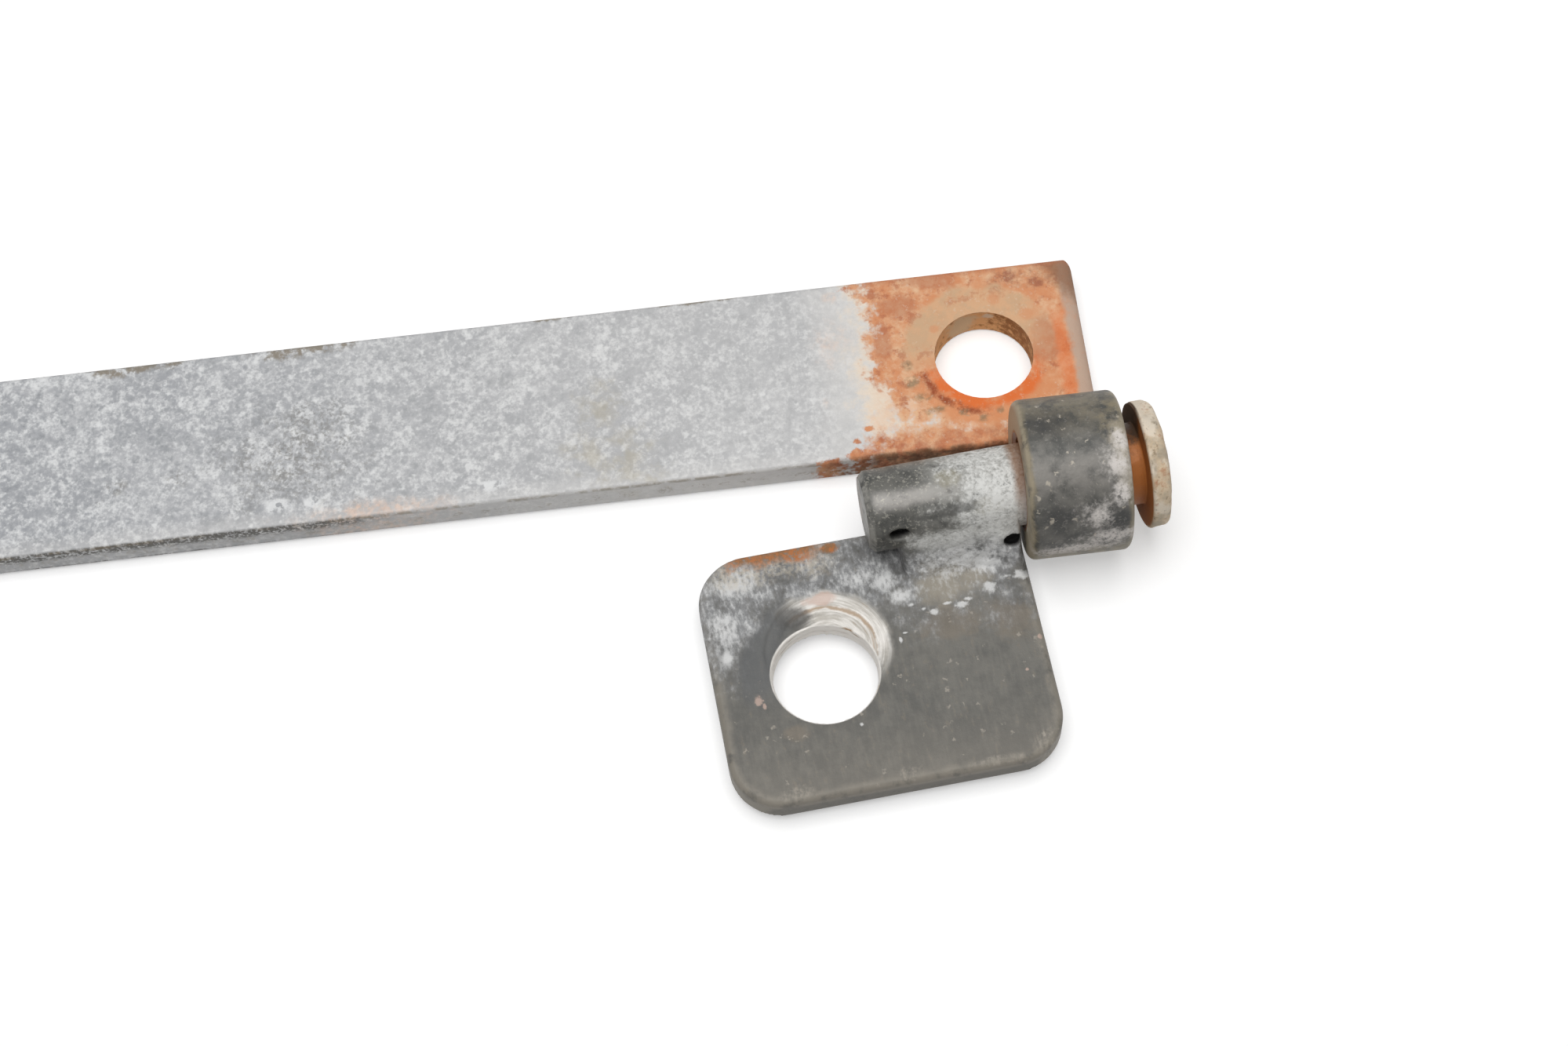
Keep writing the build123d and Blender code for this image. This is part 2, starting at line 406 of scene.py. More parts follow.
    # bolt hole's wall, made paler against the shade inside the hole as painted light, and painted shade on the
    # lower side beside the pin
    wall = rise(radius, strapHole + 0.22, strapHole + 0.06)
    wall = wall * rise(abs(z - strapHalf), strapHalf - 0.01, strapHalf - 0.1)
    wallTone = rise(fleck + rise(x, 3.2, 0.0) * 0.2, 0.44, 0.68)
    wallTone = lay(wallTone, rust["wall"], rust["wallPale"])
    far = rise(y, 0.0, 1.0)
    grey = patches(x, z, fray, rust["wallGreys"]) * far
    wallTone = lay(grey * 0.9, wallTone, rust["wallGrey"])
    chip = patches(x, z, fray * 1.4, rust["wallChips"]) * far
    wallTone = lay(chip * 0.8, wallTone, zinc["cream"])
    body = lay(wall, body, wallTone)
    low = rise(y + ragged * 0.5, -9.0, -9.4) * rise(x + ragged * 12.0, -19.0, -12.5)
    low = low * rise(fleck * 0.5 + tone * 0.5 + ragged * 0.5, 0.7, 0.36)
    body = lay(low * 0.85, body, rust["under"])
    return body, rusted.most(band), tone


def zincStrap():
    finish, start = startFinish("zincStrap")
    at = place(start)
    x, y, z = split(at)
    cloud = grain(at, 11, 2, 0.5, 1)
    mottle = grain(at, 1.6, 4, 0.6, 2)
    fleck = grain(at, 0.6, 3, 0.6, 4)
    fine = grain(at, 0.3, 2, 0.6, 6)
    ragged = grain(at, 2.0, 6, 0.66, 8) - 0.5
    patchy = grain(at, 3.4, 5, 0.6, 10) - 0.5
    fray = ragged * 2.4
    speck = fleck - 0.5
    # zinc: fine grain, chalk specks and leaden grains, paler towards the rust
    shade = fleck * 0.5 + mottle * 0.3 + fine * 0.2 + (cloud - 0.5) * 0.3
    grey = lay(rise(shade, 0.36, 0.64), zinc["deep"], zinc["mid"])
    frost = rise(fleck * 0.6 + fine * 0.4 + patchy * 0.4, 0.44, 0.7)
    grey = lay(frost * 0.8, grey, zinc["chalk"])
    dull = rise(grain(at, 0.8, 3, 0.6, 18) + patchy * 0.4, 0.5, 0.26)
    grey = lay(dull * 0.8, grey, zinc["lead"])
    chalk = rise(grain(at, 0.7, 2, 0.5, 20) + patchy * 0.3, 0.56, 0.74)
    grey = lay(chalk * 0.75, grey, zinc["chalk"])
    leaden = rise(grain(at, 0.5, 2, 0.5, 22) + patchy * 0.3, 0.36, 0.26)
    grey = lay(leaden * 0.6, grey, zinc["lead"])
    grey = lay(rise(x, -95.0, -10.0) * 0.42, grey, zinc["pale"])
    grey = lay(rise(y + ragged * 2.0, -7.4, -9.2) * 0.3, grey, zinc["pale"])
    # stains and chalk patches on the face
    stain = patches(x, y, fray * 1.6, zinc["stains"], 1.5)
    grey = lay(stain * rise(fine + mottle * 0.6, 0.86, 0.66) * 0.4, grey, zinc["olive"])
    tan = patches(x, y, fray * 2.0, zinc["khakis"], 1.4) * rise(mottle, 0.3, 0.6)
    grey = lay(tan * 0.5, grey, zinc["khaki"])
    white = patches(x, y, fray, zinc["whites"]) * rise(fleck, 0.36, 0.5)
    grey = lay(white * 0.8, grey, zinc["chalk"])
    peach = patches(x, y, fray * 1.6, zinc["peaches"], 1.5) * rise(fleck, 0.3, 0.7)
    grey = lay(peach * 0.45, grey, zinc["peach"])
    # grime on the upper edge, and broken dark lines along the sides
    grimy = patches(x, y, fray + speck * 1.6, zinc["grime"])
    grimy = grimy * rise(fleck + patchy * 0.5, 0.66, 0.46)
    grey = lay(grimy * 0.75, grey, zinc["dirt"])
    sideFace = rise(abs(y), strapHigh.y - 0.3, strapHigh.y - 0.05)
    sideFace = sideFace * rise(z, strapHigh.z, strapHigh.z - 0.2)
    # painted light: the side faces made paler towards the rusted end
    grey = lay(sideFace * rise(x, -70.0, -20.0) * 0.65, grey, zinc["pale"])
    darkBands = rise(z + ragged * 1.6 + speck * 1.4, 1.5, 2.3).most(rise(z + ragged, 0.6, 0.2))
    darkBands = darkBands * rise(x + ragged * 26.0, -54.0, -64.0)
    darkBands = darkBands * rise(fine + speck * 0.6, 0.66, 0.44)
    grey = lay(sideFace * darkBands * 0.85, grey, zinc["darkOlive"])
    arrisLine = rise(abs(z - 2.95 + ragged * 0.5), 0.35, 0.05) * rise(patchy + speck * 0.8, -0.1, 0.1)
    line = rise(abs(z - 1.5 + ragged * 1.6), 0.8, 0.1)
    line = line * rise(mottle + (fine - 0.5) * 0.8, 0.5, 0.66)
    grey = lay(sideFace * arrisLine.most(line * 0.7) * 0.6, grey, zinc["dirt"])
    body, rusted, tone = rustedEnd(at, x, y, z, fine, fleck, ragged, grey)
    height = mottle * 0.35 + fleck * 0.35 + fine * 0.25 + rusted * (tone * 0.5 + ragged)
    roughness = 0.6 + rusted * 0.28 - chalk * 0.05
    closeFinish(start, body, roughness, (1 - rusted) * 0.12, height, 0.1)
    return finish


# Leaf: dark plate with white bloom above, worn bright round its bolt hole
# Patches are along and up from the pin's middle, in mm
plate = {
    "deep": (92, 91, 87),
    "mid": (112, 110, 104),
    "brown": (130, 119, 104),
    "slate": (90, 92, 94),
    "speck": (178, 170, 158),
    "haze": (160, 161, 163),
    "bloom": (222, 222, 221),
    "edge": (152, 145, 133),
    "rust": (184, 112, 58),
    "rustDull": (150, 106, 64),
    "cream": (206, 196, 178),
    "worn": (246, 242, 236),
    "wornGrey": (192, 187, 178),
    "wornBrown": (164, 134, 100),
    "pink": (208, 180, 166),
    "tan": (166, 158, 143),
    "shade": (70, 69, 67),
    "cornerRadius": 4.7,
    "dish": (0.57, 2.13, 5.7),  # centre from the hole's, and radius
    "chips": (
        (-15.3, -8.7, 0.2, 0.15), (-14.4, -9.2, 0.4, 0.25), (-13.1, -8.6, 0.3, 0.12),
        (-11.9, -9.0, 0.5, 0.3), (-11.2, -8.5, 0.3, 0.15), (-9.0, -7.8, 0.5, 0.5),
        (-7.3, -7.0, 0.3, 0.15), (-5.9, -7.1, 0.6, 0.35), (-17.9, -11.3, 0.12, 0.25),
        (-17.4, -10.7, 0.2, 0.08), (-16.3, -8.1, 0.25, 0.15), (-22.9, -18.6, 0.15, 0.15),
    ),
    "brights": (
        (-11.4, -4.8, 2.2, 1.2), (-18.1, -5.3, 1.3, 1.0), (-33.3, -7.2, 1.3, 1.6),
        (-31.7, -2.8, 1.8, 1.2), (-8.8, -5.4, 1.6, 0.9), (-20.6, -4.6, 1.4, 0.8),
        (-17.0, -7.0, 1.2, 0.7), (-33.4, -10.0, 0.7, 0.8),
    ),
    "tans": ((-13.2, -6.6, 2.4, 1.7), (-10.4, -6.5, 1.8, 1.1)),
    "browns": ((-28.6, -18.3, 1.2, 0.7), (-13.3, -10.6, 3.2, 1.5), (-8.0, -11.0, 2.4, 2.0)),
    "crumbs": (
        (-31.4, -14.6, 0.35, 0.5), (-31.0, -15.3, 0.2, 0.3), (-5.7, -13.4, 0.2, 0.25),
        (-7.5, -16.3, 0.15, 0.15),
    ),
    "rubs": (
        (-19.6, -23.9, 1.1, 0.7), (-6.8, -23.4, 1.6, 1.2), (-12.0, -24.2, 2.4, 0.4),
        (-30.0, -23.8, 1.6, 0.7),
    ),
    # painted shade where the pin overhangs the leaf at the bead's ends
    "lapShadows": ((-16.6, -4.4, 0.9, 0.7), (-5.3, -5.5, 0.7, 1.3)),
    "stripEnd": ((-22.3, -1.1, 0.9, 0.5),),
    "blush": ((-24.3, -5.9, 1.7, 0.55),),
    "shadows": ((-26.7, -7.3, 1.7, 1.1),),
}
# Blow holes, their insides painted black as shade: middle, way in (up, out), half length, half height and depth,
# in mm
weldPits = (
    {"at": (-16.4, -3.5, 1.2), "into": (0.94, -0.34), "length": 0.95, "height": 0.66, "depth": 1.3},
    {"at": (-6.2, -4.05, -2.25), "into": (0.72, -0.69), "length": 0.9, "height": 0.7, "depth": 1.2},
)
pitShape = {  # where a hole starts and is whole, in its half sizes or in mm along its way in
    "mouth": (-1.6, -1.2),
    "blackRing": (1.05, 0.8),
    "blackEnd": (2.6, 2.0),
    "sunkRing": (1.12, 0.62),
    "sunkEnd": (2.0, 1.2),
}
leafCorners = nodeInPin("leaf") / mm
leafLow = leafCorners.min(0)
leafHigh = leafCorners.max(0)
holeAt = toPin(mounts["leaf_bolt_hole"]["pos_m"]) / mm  # along, up and out from the pin
leafHole = mounts["leaf_bolt_hole"]["dims"]["r_mm"]


def pitShadows(u, v, w):  # painted shade: the blow holes' insides made black
    whole = None
    for pit in weldPits:
        middle = pit["at"]
        across = (v - middle[1]) * -pit["into"][1] + (w - middle[2]) * pit["into"][0]
        inward = (v - middle[1]) * pit["into"][0] + (w - middle[2]) * pit["into"][1]
        ring = reach((u - middle[0]) / pit["length"], across / pit["height"])
        black = rise(ring, *pitShape["blackRing"]) * rise(inward, *pitShape["mouth"])
        black = black * rise(inward, *pitShape["blackEnd"])
        whole = black if whole is None else whole.most(black)
    return whole


def plateCoat(at, u, v, w):  # the leaf's colour, bloom and height, shared with the bead
    r = reach(u - holeAt.x, v - holeAt.y)
    cloud = grain(at, 8, 2, 0.5, 1)
    mottle, fleck, fine, ragged = grains(at, 3)
    combed = at.node("ShaderNodeCombineXYZ", None, {0: u * 2.4, 1: v * 0.5, 2: w})
    brushed = grain(combed, 1.0, 3, 0.6, 11)
    fray = ragged * 2.6
    speck = (fleck - 0.5) * 2.4
    steel = mottle * 0.6 + brushed * 0.4 + (cloud - 0.5) * 0.6
    body = lay(rise(steel, 0.34, 0.66), plate["deep"], plate["mid"])
    body = lay(patches(u, v, fray, plate["browns"]) * 0.45, body, plate["brown"])
    body = lay(rise(brushed + (fleck - 0.5) * 0.8, 0.58, 0.74) * 0.3, body, plate["brown"])
    body = lay(crumbs(at, 0.65, 0.24) * 0.5, body, plate["speck"])
    # rolled edges rubbed lighter
    turnIn = plate["cornerRadius"]
    side = (turnIn - (u - leafLow[0]).least(leafHigh[0] - u)).most(0.0)
    foot = (turnIn - (v - leafLow[1]).least(leafHigh[1] - v)).most(0.0)
    rim = turnIn - reach(side, foot)
    rubbed = rise(rim + ragged * 1.6, 1.2, 0.15) * rise(mottle, 0.32, 0.5)
    body = lay(rubbed * 0.55, body, plate["edge"])
    rubbed = patches(u, v, fray, plate["rubs"]) * rise(fine * 0.5 + brushed * 0.5, 0.4, 0.66)
    body = lay(rubbed * 0.5, body, plate["speck"])
    # bloom: a pale haze and white crumbs, thick in the corner and under the weld
    floorLine = -8.3 - rise(u, -27.0, -33.0) * 2.6
    clear = rise(r + ragged * 3.0, 6.2, 8.8)
    bloom = rise(v - floorLine + ragged * 11.0, -4.0, 4.4) * clear
    upright = at.node("ShaderNodeCombineXYZ", None, {0: u, 1: v * 0.5, 2: w})
    stipple = grain(upright, 0.34, 3, 0.65, 12)
    bright = patches(u, v, fray * 0.7 + speck * 0.5, plate["brights"], 1.5)
    veil = rise(mottle * 0.6 + stipple * 0.4 + ragged * 0.4 + bright * 0.1, 0.26, 0.64)
    body = lay(bloom.most(bright * 0.6) * veil * 0.85, body, plate["haze"])
    body = lay(patches(u, v, fray, plate["tans"], 1.2) * 0.65, body, plate["tan"])
    crumb = stipple * 0.7 + fleck * 0.3 + (mottle - 0.5) * 0.5 + ragged * 0.3 + bright * 0.22
    crumb = rise(crumb, 0.47, 0.76)
    body = lay(bloom.most(bright) * crumb * 0.9, body, plate["bloom"])
    chip = patches(u, v, speck * 1.2 + fray * 0.6, plate["chips"], 1.0)
    body = lay(chip * 0.8, body, plate["bloom"])
    # lighter towards the leaf's foot
    body = lay(rise(v + ragged * 6.0, -17.0, -24.5) * 0.25, body, plate["edge"])
    # painted shade on the leaf's lower side face
    shadedSole = rise(w, leafHigh[2] - 0.7, leafHigh[2] - 1.3)
    shadedSole = shadedSole * rise(v, leafLow[1] + 0.5, leafLow[1] + 0.2)
    body = lay(shadedSole * 0.6, body, plate["deep"])
    # painted shade in the crevices under the pin at both ends of the weld bead
    body = lay(patches(u, v, fray, plate["lapShadows"]) * 0.5, body, plate["shade"])
    height = mottle * 0.4 + fleck * 0.3 + fine * 0.25 + bloom * crumb * 0.5
    return body, bloom, height, ragged, fleck, r


def leafPlate():
    finish, start = startFinish("leafPlate")
    at = place(start)
    u, v, w = pinPlace(at)
    body, bloom, height, ragged, fleck, r = plateCoat(at, u, v, w)
    fray = ragged * 2.6
    # the washer left a darker ring beside the hole
    ring = rise(r + ragged * 2.0, 8.3, 7.2) * rise(u - holeAt.x + ragged * 5.0, -0.5, -3.6)
    ring = ring * rise(v - holeAt.y + ragged * 3.0, -3.5, 0.5)
    body = lay(ring * 0.65, body, plate["slate"])
    # rust along the upper left edge, and a few rusty crumbs
    strip = rise(v + ragged * 4.0, -2.3, -1.0) * rise(u + ragged * 5.0, -22.6, -24.8)
    strip = strip * rise(u + ragged * 3.0, -32.4, -30.8)
    strip = strip.most(patches(u, v, fray, plate["stripEnd"]))
    stripTone = lay(rise(fleck + ragged * 0.6, 0.42, 0.6), plate["rustDull"], plate["rust"])
    cream = rise(v + ragged * 4.0, -4.2, -2.4) * rise(u + ragged * 5.0, -21.0, -24.0)
    cream = cream * rise(u, -34.6, -32.0) * rise(fleck + ragged * 0.5, 0.36, 0.6)
    body = lay(cream * 0.5, body, plate["cream"])
    body = lay(strip * rise(fleck - ragged * 0.5, 0.24, 0.5) * 0.9, body, stripTone)
    crumb = patches(u, v, fray * 0.5 + (fleck - 0.5) * 2.4, plate["crumbs"])
    body = lay(crumb * 0.6, body, plate["pink"])
    # bright crescent worn by the bolt, and the scored bore behind it
    dish = plate["dish"]
    du = u - (holeAt.x + dish[0])
    dv = v - (holeAt.y + dish[1])
    fromDish = reach(du, dv)
    turn = du.maths("ARCTAN2", dv, du)
    swirlAt = at.node("ShaderNodeCombineXYZ", None, {0: fromDish * 2.6, 1: turn, 2: w * 1.6})
    swirl = grain(swirlAt, 1.0, 4, 0.65, 15)
    bent = turn + ragged * 1.2
    crescent = rise(fromDish + ragged * 1.6, dish[2] + 0.5, dish[2] - 0.5)
    crescent = crescent * rise(r, leafHole - 0.15, leafHole + 0.1)
    crescent = crescent * rise(bent, -0.8, -0.05) * rise(bent, 2.4, 1.7)
    scuff = lay(rise(swirl + ragged * 0.3, 0.36, 0.62), plate["wornGrey"], plate["worn"])
    groove = rise(abs(fromDish - 4.35 + ragged * 1.2), 0.3, 0.05) * rise(swirl, 0.4, 0.56)
    scuff = lay(groove * 0.8, scuff, plate["wornBrown"])
    scuff = lay(rise(swirl + ragged * 0.3, 0.38, 0.3) * 0.8, scuff, plate["wornBrown"])
    body = lay(crescent * 0.95, body, scuff)
    body = lay(patches(u, v, fray, plate["blush"]) * 0.7, body, plate["pink"])
    body = lay(patches(u, v, fray, plate["shadows"]) * 0.75, body, plate["shade"])
    scoreAt = at.node("ShaderNodeCombineXYZ", None, {0: w * 2.6, 1: turn * 0.9})
    score = rise(grain(scoreAt, 1.0, 3, 0.6, 17), 0.32, 0.46)
    # the scored bore in the crescent's bright worn colours, kept light against the shade inside it: worn metal,
    # partly painted light
    bore = rise(r, leafHole + 0.17, leafHole + 0.03)
    bore = bore * rise(w, leafLow[2] + 0.05, leafLow[2] + 0.15)
    body = lay(bore, body, lay(score, plate["wornBrown"], plate["worn"]))
    closeFinish(start, body, 0.56 + bloom * 0.28, 0.08, height + crescent * swirl * 0.6, 0.09)
    return finish


# Collar: dark tube, its rims rubbed to khaki
# Patches are along from its middle in mm, and degrees from its top towards the leaf
tube = {
    "dark": (56, 56, 56),
    "deep": (72, 72, 69),
    "mid": (106, 104, 99),
    # sheen: the colour of a painted highlight, also laid as fine light flecks
    "sheen": (142, 138, 132),
    "crumb": (190, 181, 166),
    "khaki": (142, 131, 107),
    "rim": (170, 158, 136),
    "bloom": (222, 216, 211),
    "rust": (136, 82, 40),
    "blooms": (
        (3.9, 8.0, 0.7, 10.0), (3.5, 22.0, 1.3, 11.0), (3.5, 44.0, 0.8, 9.0),
        (1.2, 60.0, 1.7, 11.0), (2.6, 80.0, 2.4, 8.0), (-0.6, 92.0, 3.6, 7.0),
    ),
    "darks": ((-2.4, 58.0, 1.8, 13.0), (-2.6, -14.0, 2.2, 12.0), (3.2, 66.0, 1.2, 12.0)),
    "corner": ((4.025, -12.0, 1.7, 22.0),),
    "edge": ((4.125, 17.0, 1.0, 26.0),),
}
collarLow, collarHigh = [corner.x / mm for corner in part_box("collar")]
collarMiddle = (collarLow + collarHigh) / 2
collarHalf = (collarHigh - collarLow) / 2


def darkCollar():
    finish, start = startFinish("darkCollar")
    at = place(start)
    x, y, z = split(at)
    fromMiddle = x - collarMiddle
    mottle, fleck, fine, ragged = grains(at, 13, cloud=1.6)
    fray = ragged * 2.8
    down = pivot.y / mm - y
    over = z - pivot.z / mm
    turn = down.maths("ARCTAN2", down, over) * inDegrees
    body = lay(rise(mottle, 0.34, 0.64), tube["deep"], tube["mid"])
    # painted highlight: a lighter band along the collar's upper front
    shine = rise(abs(turn - 26.0 + ragged * 14.0), 26.0, 2.0) * rise(mottle, 0.26, 0.56)
    body = lay(shine * 0.6, body, tube["sheen"])
    back = rise(turn + ragged * 30.0, 6.0, -26.0) * rise(mottle, 0.3, 0.6)
    body = lay(back * 0.5, body, tube["khaki"])
    body = lay(patches(fromMiddle, turn, fray, tube["darks"], 1.4) * 0.8, body, tube["dark"])
    body = lay(rise(fine + (fleck - 0.5) * 0.6, 0.56, 0.7) * 0.35, body, tube["sheen"])
    body = lay(crumbs(at, 0.62, 0.3) * 0.75, body, tube["crumb"])
    body = lay(crumbs(at, 1.1, 0.12) * 0.7, body, tube["crumb"])
    # rims, right corner and foot rubbed to khaki
    rims = rise(collarHalf - abs(fromMiddle) + ragged * 1.8, 0.75, 0.15)
    body = lay(rims * rise(mottle, 0.3, 0.46) * 0.75, body, tube["khaki"])
    corner = patches(fromMiddle, turn, fray, tube["corner"])
    foot = rise(turn + ragged * 30.0, 82.0, 104.0)
    body = lay(corner.most(foot) * rise(mottle, 0.34, 0.54) * 0.7, body, tube["khaki"])
    leftRim = rise(fromMiddle + collarHalf + ragged, 0.5, 0.1) * rise(mottle, 0.26, 0.5)
    body = lay(leftRim * 0.8, body, tube["rim"])
    # white bloom by the right rim and below it, and rust in the bore
    edge = patches(fromMiddle, turn, fray, tube["edge"], 1.2)
    body = lay(edge * rise(fleck + ragged * 0.4, 0.28, 0.5) * 0.8, body, tube["crumb"])
    thick = patches(fromMiddle, turn, fray * 1.2, tube["blooms"], 1.5)
    bloom = fleck * 0.45 + fine * 0.45 + mottle * 0.1 + thick * 0.12
    bloom = thick * rise(bloom, 0.44, 0.66)
    body = lay(bloom * 0.95, body, tube["bloom"])
    body = lay(rise(reach(down, over), 4.75, 4.45) * 0.9, body, tube["rust"])
    height = mottle * 0.5 + fleck * 0.4 + fine * 0.2
    closeFinish(start, body, 0.48 + bloom * 0.35, 0.12, height, 0.1)
    return finish


# Pin: dark shank, white with corrosion beside the collar, beige head with a rusty underside
# Patches are along from the collar's middle in mm, and degrees from the top towards the leaf
shank = {
    "deep": (70, 70, 67),
    "mid": (102, 101, 96),
    # sheen: the colour of a painted highlight
    "sheen": (168, 164, 159),
    "crumb": (190, 186, 174),
    "white": (232, 232, 229),
    "whiteGrey": (176, 175, 170),
    "green": (164, 158, 138),
    "brown": (140, 94, 52),
    "tail": (158, 156, 150),
    "head": (210, 190, 162),
    "headPale": (234, 222, 204),
    "headGrey": (180, 168, 148),
    "headRust": (168, 108, 70),
    "headDark": (112, 92, 70),
    "under": (172, 104, 46),
    "underShade": (66, 44, 24),
    # painted shade inside the blow holes
    "pitShade": (10, 9, 8),
    "chamfer": 0.5,
    "greens": ((-8.2, 52.0, 1.4, 14.0), (-11.6, -4.0, 1.2, 14.0)),
    "whites": ((-6.6, 40.0, 1.0, 26.0),),
    "shades": ((-11.0, 46.0, 1.7, 9.0), (-13.5, 48.0, 2.0, 8.0)),
}
pinCorners = nodeInPin("pin") / mm
pinReach = np.hypot(pinCorners[:, 1], pinCorners[:, 2])
pinTail = pinCorners[:, 0].min()
pinTip = pinCorners[:, 0].max()
headRadius = pinReach.max()
headSeat = pinCorners[pinReach > headRadius - 0.5, 0].min()
shankRadius = pinReach[pinCorners[:, 0] < headSeat - 0.1].max()


def shankCoat(at, u, v, w):  # the shank's colour, white share and height, shared with the bead
    mottle, fleck, fine, ragged = grains(at, 21, tear=2.4)
    fray = ragged * 2.8
    turn = w.maths("ARCTAN2", 0.0 - v, w) * inDegrees
    body = lay(rise(mottle, 0.34, 0.64), shank["deep"], shank["mid"])
    # painted highlight: a light band along the shank's upper front, fading out towards the collar
    band = rise(abs(turn - 17.0 + ragged * 20.0), 19.0, 4.0)
    band = band * rise(u, pinTail + 0.2, pinTail + 1.2) * rise(u + ragged * 6.0, -9.0, -13.4)
    body = lay(band * rise(mottle, 0.2, 0.5) * 0.75, body, shank["sheen"])
    body = lay(rise(fine + (fleck - 0.5) * 0.7, 0.54, 0.7) * 0.4, body, shank["crumb"])
    loose = crumbs(at, 0.55, 0.4) * rise(turn + ragged * 40.0, 60.0, 20.0)
    body = lay(loose * 0.8, body, shank["crumb"])
    back = rise(turn + ragged * 90.0, -36.0, -80.0) * rise(mottle + ragged * 0.4, 0.4, 0.62)
    body = lay(back * 0.5, body, shank["brown"])
    # white corrosion thickens towards the collar
    white = rise(u + ragged * 10.0 - turn * 0.012, -16.0, -8.8)
    spray = rise(turn + ragged * 40.0, 62.0, 90.0) * rise(u + ragged * 6.0, -16.2, -14.0)
    white = white.most(spray * 0.95) * rise(u, -collarHalf + 0.6, -collarHalf - 0.2)
    body = lay(white * rise(mottle + ragged * 0.3, 0.2, 0.54) * 0.85, body, shank["whiteGrey"])
    body = lay(patches(u, turn, fray, shank["greens"]) * 0.5, body, shank["green"])
    crumb = fleck * 0.5 + fine * 0.4 + mottle * 0.15 + (white - 0.5) * 0.3
    crumb = rise(crumb - rise(turn, 30.0, -20.0) * 0.07, 0.44, 0.74)
    body = lay(white * crumb * 0.9, body, shank["white"])
    caked = patches(u, turn, fray, shank["whites"]) * rise(fine, 0.3, 0.6)
    body = lay(caked * 0.7, body, shank["white"])
    body = lay(patches(u, turn, fray, shank["shades"]) * 0.65, body, shank["deep"])
    neck = rise(u + ragged * 1.6, -collarHalf - 1.4, -collarHalf - 0.5)
    body = lay(neck * rise(turn + ragged * 30.0, 95.0, 20.0) * 0.75, body, shank["brown"])
    height = mottle * 0.4 + fleck * 0.4 + fine * 0.2 + white * crumb * 0.5
    return body, white, height, ragged, fleck, mottle


def wornPin():
    finish, start = startFinish("wornPin")
    at = place(start)
    u, v, w = pinPlace(at)
    body, white, height, ragged, fleck, mottle = shankCoat(at, u, v, w)
    r = reach(v, w)
    tail = rise(u, pinTail + shank["chamfer"] + 0.1, pinTail + shank["chamfer"] - 0.15)
    body = lay(tail * rise(mottle + ragged * 0.4, 0.34, 0.6) * 0.7, body, shank["tail"])
    # head: beige rim with rust freckles, orange underneath
    head = rise(u, headSeat - 0.4, headSeat + 0.1)
    rimTone = lay(rise(mottle, 0.38, 0.58), shank["headGrey"], shank["head"])
    pale = rise(grain(at, 2.6, 4, 0.6, 29) + rise(v, -1.0, 4.0) * 0.1, 0.5, 0.62)
    rimTone = lay(pale * 0.75, rimTone, shank["headPale"])
    freckle = rise(fleck * 0.5 + mottle * 0.5 + ragged * 0.5, 0.54, 0.68)
    rimTone = lay(freckle * 0.7, rimTone, shank["headRust"])
    rimTone = lay(rise(fleck * 0.7 + ragged * 0.6, 0.3, 0.18) * 0.6, rimTone, shank["headDark"])
    # orange rust under the head, darker towards its top with painted shade
    beneath = lay(rise(mottle + v * 0.09, 0.36, 0.7), shank["under"], shank["underShade"])
    inner = rise(u + ragged * 0.3, headSeat + 0.32, headSeat + 0.16)
    inner = inner * rise(r, headRadius - 0.1, headRadius - 0.5)
    body = lay(head, body, lay(inner, rimTone, beneath))
    turning = rise(u, collarHalf - 0.6, collarHalf - 0.1)
    turning = turning * rise(u, headSeat + 0.05, headSeat - 0.05)
    body = lay(turning, body, beneath)
    # blow holes painted black as their shade
    body = lay(pitShadows(u, v, w), body, shank["pitShade"])
    closeFinish(start, body, 0.44 + white * 0.35 + head * 0.3, 0.12, height, 0.09)
    return finish


# Weld: the shank's coat above and the leaf's below, run together
def weldBead():
    finish, start = startFinish("weldBead")
    at = place(start)
    u, v, w = pinPlace(at)
    above, _, highPart = shankCoat(at, u, v, w)[:3]
    below, bloom, lowPart, ragged = plateCoat(at, u, v, w)[:4]
    body = lay(rise(w + ragged * 3.0, -2.2, 0.0), below, above)
    # blow holes painted black as their shade
    body = lay(pitShadows(u, v, w), body, shank["pitShade"])
    closeFinish(start, body, 0.55 + bloom * 0.25, 0.1, (highPart + lowPart) * 0.5, 0.12)
    return finish


# Bead in the strap's groove, rusted like the strap's end
grooveTones = {"deep": (86, 58, 36), "mid": (142, 92, 56), "ash": (150, 138, 122)}


def rustyBead():
    finish, start = startFinish("rustyBead")
    at = place(start)
    mottle = grain(at, 1.4, 5, 0.62, 31)
    fleck = grain(at, 0.5, 2, 0.55, 33)
    body = lay(rise(mottle, 0.36, 0.62), grooveTones["deep"], grooveTones["mid"])
    body = lay(rise(fleck, 0.56, 0.68) * 0.6, body, grooveTones["ash"])
    height = mottle * 0.6 + fleck * 0.4
    closeFinish(start, body, 0.74 + fleck * 0.1, 0.05 + mottle * 0.05, height, 0.12)
    return finish


finishes = {
    "strap": zincStrap(),
    "collar": darkCollar(),
    "pin": wornPin(),
    "leaf": leafPlate(),
    "leaf_weld": weldBead(),
    "collar_weld": rustyBead(),
}
for name, finish in finishes.items():
    frame["nodes"][name].data.materials.clear()
    frame["nodes"][name].data.materials.append(finish)
print("finishes made:", ", ".join(finishes))

# Pieces: worn meshes that stand for the plain solids
pinToFrame = Matrix.Translation(pivot) @ pinAxes.to_4x4() @ Matrix.Scale(mm, 4)


def smooth(value, low, high):
    share = np.clip((value - low) / (high - low), 0, 1)
    return share * share * (3 - 2 * share)


def waver(points, size, seed):  # cloudy noise at each point, about -1 to 1
    shift = Vector((seed * 7.3, seed * 3.1, seed * 5.7))
    return np.array([noise.noise(Vector(p) / size + shift) for p in points])


